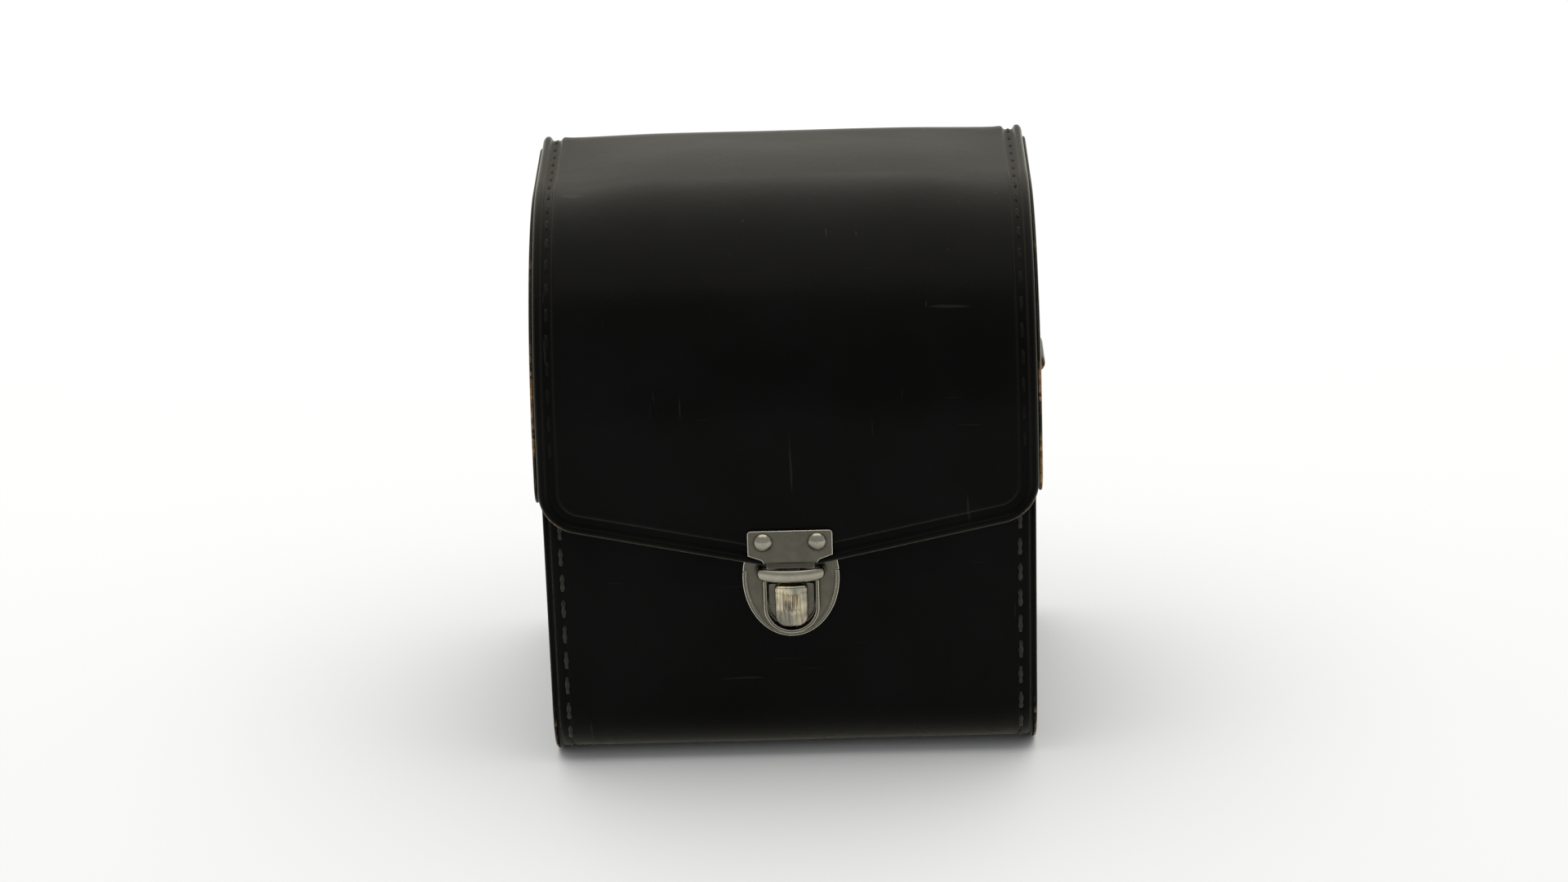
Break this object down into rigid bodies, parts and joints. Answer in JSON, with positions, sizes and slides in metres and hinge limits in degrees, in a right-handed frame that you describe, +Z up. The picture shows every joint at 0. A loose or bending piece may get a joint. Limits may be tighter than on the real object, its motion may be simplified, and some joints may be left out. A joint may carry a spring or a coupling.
{
  "type": "camera case",
  "caption": "Stiff leather case for a box-shaped camera, with a hooded lid hinged at the back, a metal tuck catch in front and strap rings at the sides.",
  "frame": {"origin": "on the underside of the case, under the middle of the body; the side rims reach the floor at z = 0 and the leather underside is 0.9 mm above it", "axes": "+X to the right across the front, +Y from the front with the catch to the back with the hinge, +Z up"},
  "size_m": [0.124, 0.1102, 0.1301],
  "materials": {
    "case_leather": "smooth polished black leather with tan wear on the edges",
    "thread": "waxed linen thread",
    "velvet": "short-pile lining",
    "board": "fibre board",
    "nickel": "aged nickel plate",
    "steel": "plain steel"
  },
  "bodies": {
    "case_body": {"body_wrap": "case_leather", "hinge_strip_lower": "case_leather", "side_panel_left": "case_leather", "side_panel_right": "case_leather", "strap_tab_left": "case_leather", "strap_tab_right": "case_leather", "body_stitching_left": "thread", "body_stitching_right": "thread", "body_lining": "velvet", "side_lining_left": "velvet", "side_lining_right": "velvet", "sole_board": "board", "catch_plate": "nickel", "catch_housing": "nickel", "keeper_bar": "nickel", "tab_rivet_left": "nickel", "tab_rivet_right": "nickel", "screw_plate": "steel", "slide_spring": "steel", "latch_leaf": "steel", "catch_backing": "steel", "tab_washer_left": "steel", "tab_washer_right": "steel"},
    "lid": {"lid_flap": "case_leather", "lid_lining": "velvet", "hasp_plate": "nickel", "hasp_rivets": "nickel", "hasp_backing": "steel", "hinge_strip_upper": "case_leather", "lid_side_left": "case_leather", "lid_side_right": "case_leather", "lid_side_lining_left": "velvet", "lid_side_lining_right": "velvet", "lid_stitching_left": "thread", "lid_stitching_right": "thread"},
    "thumb_slide": {"thumb_slide": "nickel"},
    "camera_screw": {"retaining_screw": "nickel", "screw_clip": "steel"},
    "strap_ring_left": {"strap_ring_left": "nickel"},
    "strap_ring_right": {"strap_ring_right": "nickel"}
  },
  "joints": [
    {"name": "lid_hinge", "type": "hinge", "parent": "case_body", "child": "lid", "pos_m": [0, 0.0517, 0.097], "axis": [-1, 0, 0], "range_deg": [0, 165]},
    {"name": "thumb_slide_travel", "type": "slide", "parent": "case_body", "child": "thumb_slide", "axis": [0, 0, -1], "range_m": [0, 0.002], "stiffness_N_per_m": 300, "springref_m": -0.002, "deforming": ["slide_spring"]},
    {"name": "camera_screw_turn", "type": "hinge", "parent": "case_body", "child": "camera_screw", "pos_m": [0, 0.015, 0.005], "axis": [0, 0, 1], "continuous": true},
    {"name": "strap_ring_left_swing", "type": "hinge", "parent": "case_body", "child": "strap_ring_left", "pos_m": [-0.06002, 0.022, 0.07598], "axis": [0, 1, 0], "range_deg": [0, 150]},
    {"name": "strap_ring_right_swing", "type": "hinge", "parent": "case_body", "child": "strap_ring_right", "pos_m": [0.06002, 0.022, 0.07598], "axis": [0, -1, 0], "range_deg": [0, 150]}
  ]
}
